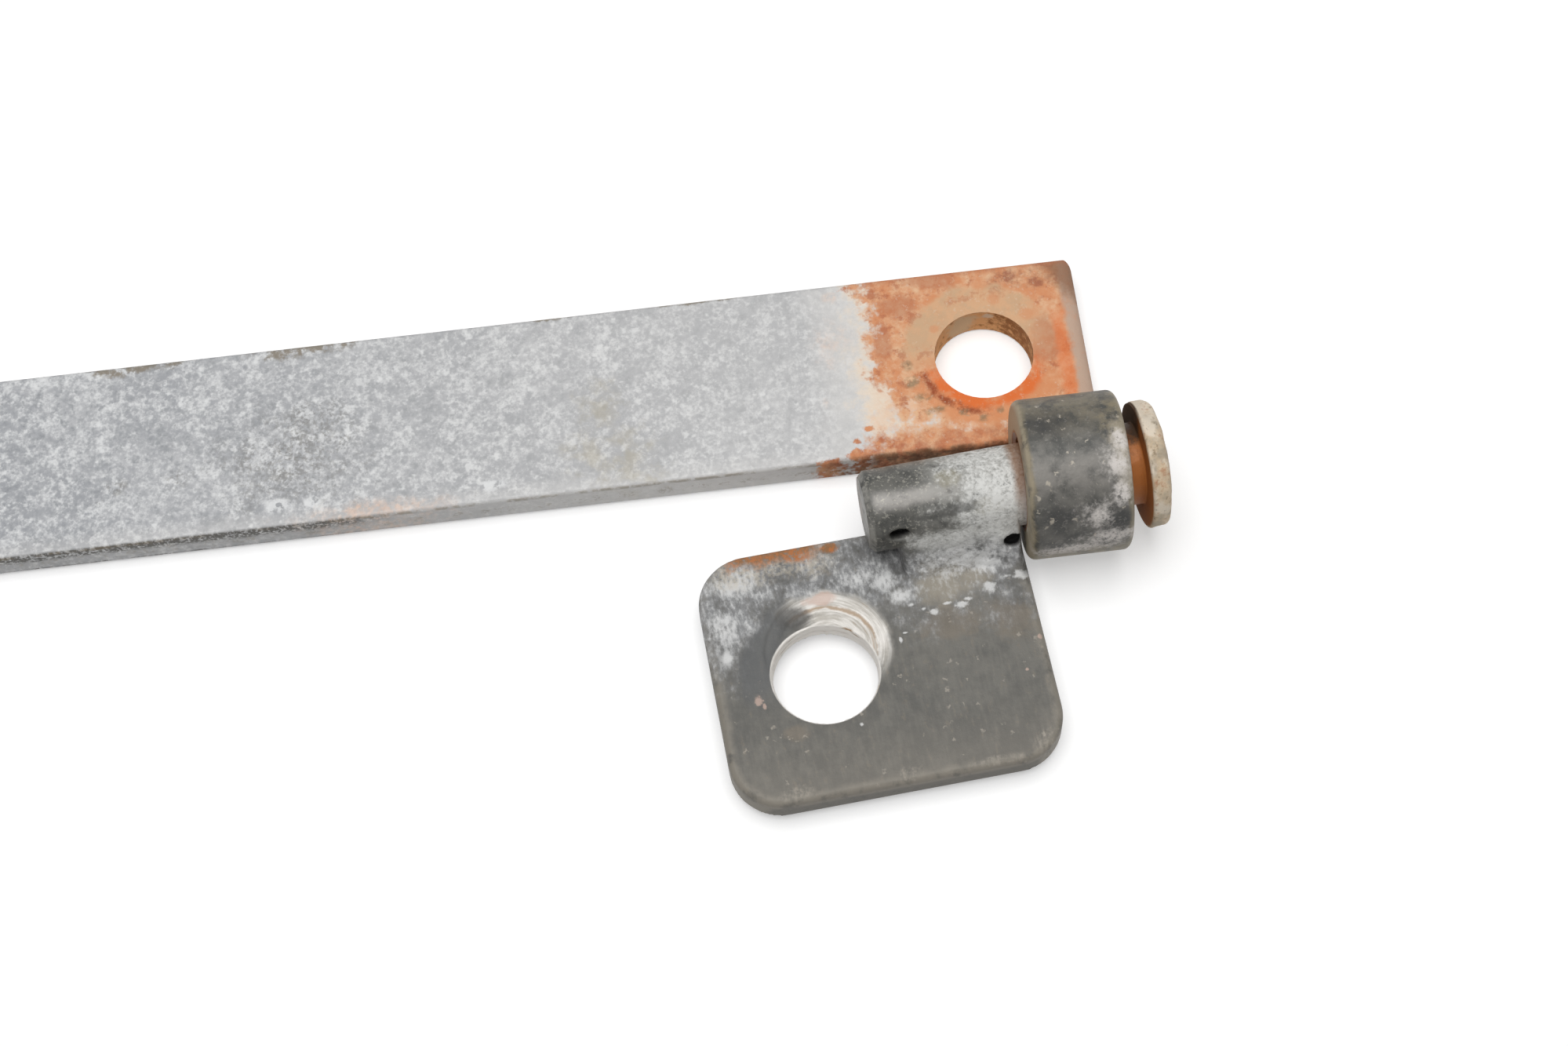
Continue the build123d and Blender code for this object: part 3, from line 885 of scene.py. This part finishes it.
def readCorners(mesh):
    flat = np.zeros(len(mesh.vertices) * 3)
    mesh.vertices.foreach_get("co", flat)
    return flat.reshape(-1, 3)


def writeCorners(mesh, corners):
    mesh.vertices.foreach_set("co", corners.ravel())
    mesh.update()


def evaluatedMesh(helper):  # a modifier's result as a plain mesh, with its helper removed
    ready = helper.evaluated_get(bpy.context.evaluated_depsgraph_get())
    mesh = bpy.data.meshes.new_from_object(ready)
    bpy.data.objects.remove(helper)
    return mesh


def reskin(mesh, voxel):  # even skin of small faces over a closed mesh
    helper = bpy.data.objects.new("helper", mesh)
    bpy.context.scene.collection.objects.link(helper)
    skin = helper.modifiers.new("skin", "REMESH")
    skin.mode = "VOXEL"
    skin.voxel_size = voxel
    return evaluatedMesh(helper)


def closedMesh(name, corners, faces):  # a mesh with its faces turned outwards
    mesh = bpy.data.meshes.new(name)
    mesh.from_pydata([tuple(c) for c in corners], [], faces)
    solid = bmesh.new()
    solid.from_mesh(mesh)
    bmesh.ops.recalc_face_normals(solid, faces=solid.faces)
    solid.to_mesh(mesh)
    solid.free()
    return mesh


def tubeFaces(rows, count):  # faces between rings of count corners, closed at both ends
    faces = [tuple(range(count)), tuple(reversed(range(rows * count, (rows + 1) * count)))]
    for row in range(rows):
        for i in range(count):
            a = row * count
            b = a + count
            beside = (i + 1) % count
            faces.append((a + i, b + i, b + beside, a + beside))
    return faces


def finishPiece(name, mesh, finish, body, node):
    mesh.name = name
    mesh.materials.clear()
    mesh.materials.append(finishes[finish])
    mesh.polygons.foreach_set("use_smooth", [True] * len(mesh.polygons))
    piece = bpy.data.objects.new(name, mesh)
    bpy.context.scene.collection.objects.link(piece)
    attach(piece, body)
    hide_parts(node)
    print(name, "made,", len(mesh.polygons), "faces")


# Leaf, its bolt hole scored by the bolt's thread and its face pitted
leafWear = {
    "mergeWithin": 0.001,  # mm
    "voxel": 0.17,
    "scorePitch": 0.78,
    "scoreDepth": 0.14,
    "gouge": 0.16,
    "pitting": 0.035,
}


def makeLeaf():
    mesh = frame["nodes"]["leaf"].data.copy()
    mesh.transform(pinToFrame.inverted())
    loose = bmesh.new()
    loose.from_mesh(mesh)
    bmesh.ops.remove_doubles(loose, verts=loose.verts, dist=leafWear["mergeWithin"])
    loose.to_mesh(mesh)
    loose.free()
    mesh = reskin(mesh, leafWear["voxel"])
    at = readCorners(mesh)
    back = leafLow[2]
    depth = (at[:, 2] - back) / (leafHigh[2] - back)
    du = at[:, 0] - holeAt.x
    dv = at[:, 1] - holeAt.y
    r = np.hypot(du, dv)
    turn = np.arctan2(dv, du)
    rim = r.min()
    # thread scores round the bore
    winding = (at[:, 2] - back) / leafWear["scorePitch"] + turn / (2 * math.pi)
    score = np.abs(winding % 1 - 0.5) * 2
    onWall = smooth(r, rim + 0.5, rim) * smooth(depth, 0.02, 0.12) * smooth(depth, 0.95, 0.8)
    push = -leafWear["scoreDepth"] * onWall * score
    at[:, 0] += du / r * push
    at[:, 1] += dv / r * push
    # gouges swept round the dish, and small pits over the face
    dish = plate["dish"]
    fromDish = np.hypot(du - dish[0], dv - dish[1])
    swept = np.stack([fromDish * 1.6, turn * 1.2, np.zeros(len(at))], 1)
    inDish = smooth(fromDish, dish[2] + 0.3, dish[2] - 0.4) * smooth(r, rim + 0.1, rim + 0.5)
    at[:, 2] -= leafWear["gouge"] * inDish * np.clip(waver(swept, 1.0, 3) + 0.2, 0, 1)
    pits = 0.6 * waver(at, 2.6, 1) + 0.4 * waver(at, 0.9, 2)
    at[:, 2] -= leafWear["pitting"] * np.clip(pits, 0, 1) * smooth(depth, 0.7, 0.95)
    writeCorners(mesh, at)
    mesh.transform(pinToFrame)
    finishPiece("wornLeaf", mesh, "leaf", "leaf", "leaf")


def sinkPits(at):  # pushes points in where the weld blew its holes
    moved = at.copy()
    for pit in weldPits:
        middle = np.array(pit["at"])
        into = np.array((0.0, *pit["into"]))
        off = at - middle
        across = off[:, 1] * -into[2] + off[:, 2] * into[1]
        inward = off @ into
        ring = np.hypot(off[:, 0] / pit["length"], across / pit["height"])
        share = smooth(ring, *pitShape["sunkRing"]) * smooth(inward, *pitShape["mouth"])
        share = share * smooth(inward, *pitShape["sunkEnd"])
        moved += into * (pit["depth"] * share)[:, None]
    return moved


# Pin, turned from its profile, its head battered and its shank blown by the weld
pinWear = {
    "step": 0.17,  # mm between rows
    "columns": 160,
    "seatRound": 0.4,
    "headRound": 0.75,
    "headCrown": 0.7,
    "knock": 0.468,  # the head's rim is beaten in
    "dent": 0.26,  # and its crown
    "wornTurn": -63.0,  # degrees from the top to the head's most worn side
    "wornSpread": 75.0,
    "wornDepth": 0.55,
    "pitting": 0.035,
}


def arc(centre, radius, start, end, steps):  # points round a centre, in degrees
    turns = [math.radians(start + (end - start) * i / steps) for i in range(steps + 1)]
    return [(centre[0] + radius * math.cos(t), centre[1] + radius * math.sin(t)) for t in turns]


def fillLine(points, step):  # the same line with points no further apart than a step
    filled = [points[0]]
    for a, b in zip(points, points[1:]):
        pieces = max(1, math.ceil(math.dist(a, b) / step))
        for i in range(1, pieces + 1):
            filled.append(tuple(np.array(a) + (np.array(b) - np.array(a)) * i / pieces))
    return filled


def pinLine():  # the pin's profile, along and away from its axis
    cut = shank["chamfer"]
    seat = pinWear["seatRound"]
    bend = pinWear["headRound"]
    crown = pinWear["headCrown"]
    ball = (headRadius**2 + crown**2) / (2 * crown)  # crown's radius
    edge = math.degrees(math.asin((headRadius - bend) / (ball - bend)))
    bendAt = pinTip - ball + (ball - bend) * math.cos(math.radians(edge))
    line = [(pinTail, 0.02), (pinTail, shankRadius - cut), (pinTail + cut, shankRadius)]
    line += [(headSeat, shankRadius)]
    line += arc((headSeat + seat, headRadius - seat), seat, 180, 90, 6)
    line += arc((bendAt, headRadius - bend), bend, 90, edge, 8)
    line += arc((pinTip - ball, 0), ball, edge, 0.05, 24)
    return np.array(fillLine(line, pinWear["step"]))


def makePin():
    profile = pinLine()
    columns = pinWear["columns"]
    turns = np.arange(columns) * 2 * math.pi / columns
    u = np.repeat(profile[:, 0], columns)
    r = np.repeat(profile[:, 1], columns)
    turn = np.tile(turns, len(profile))  # from outward, down towards the leaf
    ringPoint = np.stack([u, r * -np.sin(turn), r * np.cos(turn)], 1)
    # battered head
    headShare = smooth(u, headSeat + 0.1, headSeat + 0.8) * smooth(r, 1.5, headRadius)
    knock = np.clip(waver(ringPoint, 3.2, 4) + 0.5 * waver(ringPoint, 1.2, 5), 0, 1)
    r = r - pinWear["knock"] * knock * headShare
    offTurn = np.abs((np.degrees(turn) - pinWear["wornTurn"] + 180) % 360 - 180)
    worn = smooth(offTurn, pinWear["wornSpread"], 0) * smooth(u, headSeat - 0.05, headSeat + 0.05)
    r = r - pinWear["wornDepth"] * worn * smooth(r, 3.9, headRadius)
    dent = np.clip(waver(ringPoint, 2.4, 6), 0, 1) * headShare * smooth(u, headSeat + 0.9, pinTip)
    u = u - pinWear["dent"] * dent
    # pitted shank, never proud of the bore
    shankShare = smooth(u, headSeat + 0.05, headSeat - 0.2) * smooth(r, 2.0, shankRadius)
    r = r - pinWear["pitting"] * np.clip(waver(ringPoint, 1.1, 7) + 0.3, 0, 1) * shankShare
    corners = sinkPits(np.stack([u, r * -np.sin(turn), r * np.cos(turn)], 1))
    mesh = closedMesh("wornPin", corners, tubeFaces(len(profile) - 1, columns))
    mesh.transform(pinToFrame)
    finishPiece("wornPin", mesh, "pin", "leaf", "pin")


# Bead that runs from the pin down onto the leaf, with a crater at each end
leafBead = {
    "left": 2.7,  # mm from the pin's tail
    "right": 0.05,  # short of the leaf's side
    "climb": 17.0,  # degrees up the pin
    "climbSwell": 7.0,
    "toe": 2.6,  # past the pin's side, along the leaf
    "toeSwell": 0.35,
    "sink": 0.25,
    "lumps": 0.14,
    "lumpWay": (-0.7, 0.7),  # up the leaf, and out
    "lipTurn": 0.12,  # radians that the upper lip runs on under the pin's skin
    "lipReach": 0.35,  # and the lower lip under the leaf's
    "lipSink": 0.07,
    "rows": 140,
    "across": 46,
    "endRound": 0.6,
    "endShare": 0.42,  # of the bead's height left at its very ends
    "rootStart": -1.2,  # hidden corners of the section: up the leaf, and out
    "rootDeep": (-1.9, -2.2),
    "rootTop": 0.94,
    "crevice": (-2.3, 0.1),
}


def makeLeafBead():
    front = leafHigh[2]
    left = pinTail + leafBead["left"]
    right = leafHigh[0] - leafBead["right"]
    rows = leafBead["rows"]
    sink = leafBead["sink"]
    loops = []
    for row in range(rows + 1):
        u = left + (right - left) * row / rows
        swell = noise.noise(Vector((u * 0.5, 3.3, 1.7)))
        climb = math.radians(leafBead["climb"] + leafBead["climbSwell"] * swell)
        spread = noise.noise(Vector((u * 0.4, 9.1, 4.2)))
        toe = leafBead["toe"] * (1 + leafBead["toeSwell"] * spread)
        top = Vector((-shankRadius * math.cos(climb), shankRadius * math.sin(climb)))
        foot = Vector((-shankRadius - toe, front))
        knee = Vector((top.x - (top.y - front) * math.tan(climb), front))
        under = leafBead["lipSink"]
        lip = climb + leafBead["lipTurn"]
        loop = [Vector((-math.cos(lip), math.sin(lip))) * (shankRadius - under)]
        for step in range(leafBead["across"] + 1):
            t = step / leafBead["across"]
            point = top * (1 - t) ** 2 + knee * 2 * t * (1 - t) + foot * t * t
            lump = noise.noise(Vector((u * 1.1, point.x * 1.1, point.y * 1.1))) * 4 * t * (1 - t)
            loop.append(point + Vector(leafBead["lumpWay"]) * leafBead["lumps"] * lump)
        loop.append(foot + Vector((-leafBead["lipReach"], -under)))
        loop += [foot + Vector((sink, -sink)), Vector((leafBead["rootStart"], front - sink))]
        loop += [Vector(leafBead["rootDeep"]), top * leafBead["rootTop"]]
        fromEnd = min(u - left, right - u) / leafBead["endRound"]
        share = leafBead["endShare"]
        full = math.sqrt(max(0.0, 1 - max(0.0, 1 - fromEnd) ** 2)) * (1 - share) + share
        crevice = Vector((0, front)) + Vector(leafBead["crevice"])
        loops.append([(u, *(crevice + (p - crevice) * full)) for p in loop])
    count = len(loops[0])
    corners = sinkPits(np.array([p for loop in loops for p in loop]))
    mesh = closedMesh("leafBead", corners, tubeFaces(rows, count))
    mesh.transform(pinToFrame)
    finishPiece("leafBead", mesh, "leaf_weld", "leaf", "leaf_weld")


# Bead between the collar and the strap: ripples laid one over the next along the groove
collarBead = {
    "Ripples": 13,
    "Ripple Radius": 1.2 * mm,
    "Ripple Flatness": 0.62,  # of the radius, along the groove
    "Wander": 0.1 * mm,
    "Seed": 7,
    "segments": 24,
    "rings": 14,
    "ends": 0.6,  # of the radius, from each end to the first ripple
    "inward": 0.45 * mm,  # from the strap's lower edge
    "above": 0.55 * mm,  # over the strap's face
    "voxel": 0.11 * mm,
}


def rippleTree():
    tree = bpy.data.node_groups.new("rippleBead", "GeometryNodeTree")
    kinds = {"Start": "Vector", "Step": "Vector", "Ripples": "Int", "Ripple Radius": "Float"}
    kinds.update({"Ripple Flatness": "Float", "Wander": "Float", "Seed": "Int"})
    kinds["Finish"] = "Material"
    for name, kind in kinds.items():
        tree.interface.new_socket(name, in_out="INPUT", socket_type="NodeSocket" + kind)
    tree.interface.new_socket("Geometry", in_out="OUTPUT", socket_type="NodeSocketGeometry")
    given = tree.nodes.new("NodeGroupInput").outputs
    wire = Wire(tree)
    inputs = {name: Wire(tree, given[name]) for name in kinds}
    groove = wire.node("GeometryNodeMeshLine", {"mode": "OFFSET"}, {
        "Count": inputs["Ripples"], "Start Location": inputs["Start"], "Offset": inputs["Step"]})
    stray = wire.node("FunctionNodeRandomValue", {"data_type": "FLOAT_VECTOR"}, {
        0: (-1, -1, -1), 1: (1, 1, 1), "Seed": inputs["Seed"]})
    stray = wire.node("ShaderNodeVectorMath", {"operation": "SCALE"}, {
        0: stray, "Scale": inputs["Wander"]})
    groove = wire.node("GeometryNodeSetPosition", None, {"Geometry": groove, "Offset": stray})
    ripple = wire.node("GeometryNodeMeshUVSphere", None, {
        "Segments": collarBead["segments"], "Rings": collarBead["rings"],
        "Radius": inputs["Ripple Radius"]})
    squash = wire.node("ShaderNodeCombineXYZ", None, {
        "X": inputs["Ripple Flatness"], "Y": 1.0, "Z": 1.0})
    laid = wire.node("GeometryNodeInstanceOnPoints", None, {
        "Points": groove, "Instance": ripple, "Scale": squash})
    whole = wire.node("GeometryNodeRealizeInstances", None, {"Geometry": laid})
    painted = wire.node("GeometryNodeSetMaterial", None, {
        "Geometry": whole, "Material": inputs["Finish"]})
    wire.node("NodeGroupOutput", None, {"Geometry": painted})
    return tree


def makeCollarBead():
    low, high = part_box("collar_weld")
    tree = rippleTree()
    ripples = collarBead["Ripples"]
    inset = collarBead["Ripple Radius"] * collarBead["ends"]
    strapLow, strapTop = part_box("strap")[0].y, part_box("strap")[1].z
    first = (low.x + inset, strapLow + collarBead["inward"], strapTop + collarBead["above"])
    step = ((high.x - low.x - inset * 2) / (ripples - 1), 0, 0)
    values = dict(collarBead, Start=first, Step=step, Finish=finishes["collar_weld"])
    helper = bpy.data.objects.new("helper", bpy.data.meshes.new("helper"))
    bpy.context.scene.collection.objects.link(helper)
    bead = helper.modifiers.new("ripples", "NODES")
    bead.node_group = tree
    for item in tree.interface.items_tree:
        if item.in_out == "INPUT":
            bead[item.identifier] = values[item.name]
    mesh = reskin(evaluatedMesh(helper), collarBead["voxel"])
    finishPiece("collarBead", mesh, "collar_weld", "strap", "collar_weld")


makeLeaf()
makePin()
makeLeafBead()
makeCollarBead()

# Floor, world and lamp, sizes in metres
studio = {
    "floorShare": 0.74,  # light that the floor gives back
    "floorLift": 0.42,  # extra white that only the lens and gloss see
    "floorHalf": 3.0,
    "floorDrop": 0.0002,
    "skyFill": 0.2,
    "softboxSide": 0.6,
    "softboxHeight": 0.75,
    "softboxWatts": 4.5,
}


def seenRays(start):  # 1 for what the lens sees, also in gloss and through glass
    rays = ("Is Camera Ray", "Is Glossy Ray", "Is Transmission Ray")
    lens, gloss, glass = [start.node("ShaderNodeLightPath", out=ray) for ray in rays]
    return lens.most(gloss).most(glass)


def setStudio():
    floorMesh = bpy.data.meshes.new("floor")
    half = studio["floorHalf"]
    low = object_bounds()[0].z - studio["floorDrop"]
    corners = [(-half, -half, low), (half, -half, low), (half, half, low), (-half, half, low)]
    floorMesh.from_pydata(corners, [], [(0, 1, 2, 3)])
    floor = bpy.data.objects.new("floor", floorMesh)
    bpy.context.scene.collection.objects.link(floor)
    finish, start = startFinish("floorPaper")
    share = studio["floorShare"]
    paper = start.node("ShaderNodeBsdfDiffuse", None, {"Color": (share, share, share, 1)})
    strength = seenRays(start) * studio["floorLift"]
    lift = start.node("ShaderNodeEmission", None, {"Strength": strength})
    both = start.node("ShaderNodeAddShader", None, {0: paper, 1: lift})
    start.node("ShaderNodeOutputMaterial", None, {"Surface": both})
    floorMesh.materials.append(finish)

    world = bpy.data.worlds.new("studio")
    world.use_nodes = True
    world.node_tree.nodes.clear()
    sky = Wire(world.node_tree)
    strength = studio["skyFill"] + seenRays(sky) * (1 - studio["skyFill"])
    glow = sky.node("ShaderNodeBackground", None, {"Color": (1, 1, 1, 1), "Strength": strength})
    sky.node("ShaderNodeOutputWorld", None, {"Surface": glow})
    bpy.context.scene.world = world

    data = bpy.data.lights.new("softbox", "AREA")
    data.shape = "SQUARE"
    data.size = studio["softboxSide"]
    data.energy = studio["softboxWatts"]
    softbox = bpy.data.objects.new("softbox", data)
    middle = (cadBox[0] + cadBox[1]) / 2
    softbox.location = (middle.x, middle.y, studio["softboxHeight"])
    bpy.context.scene.collection.objects.link(softbox)
    bpy.context.scene.view_settings.view_transform = "Standard"


setStudio()
print("floor, world and softbox set")
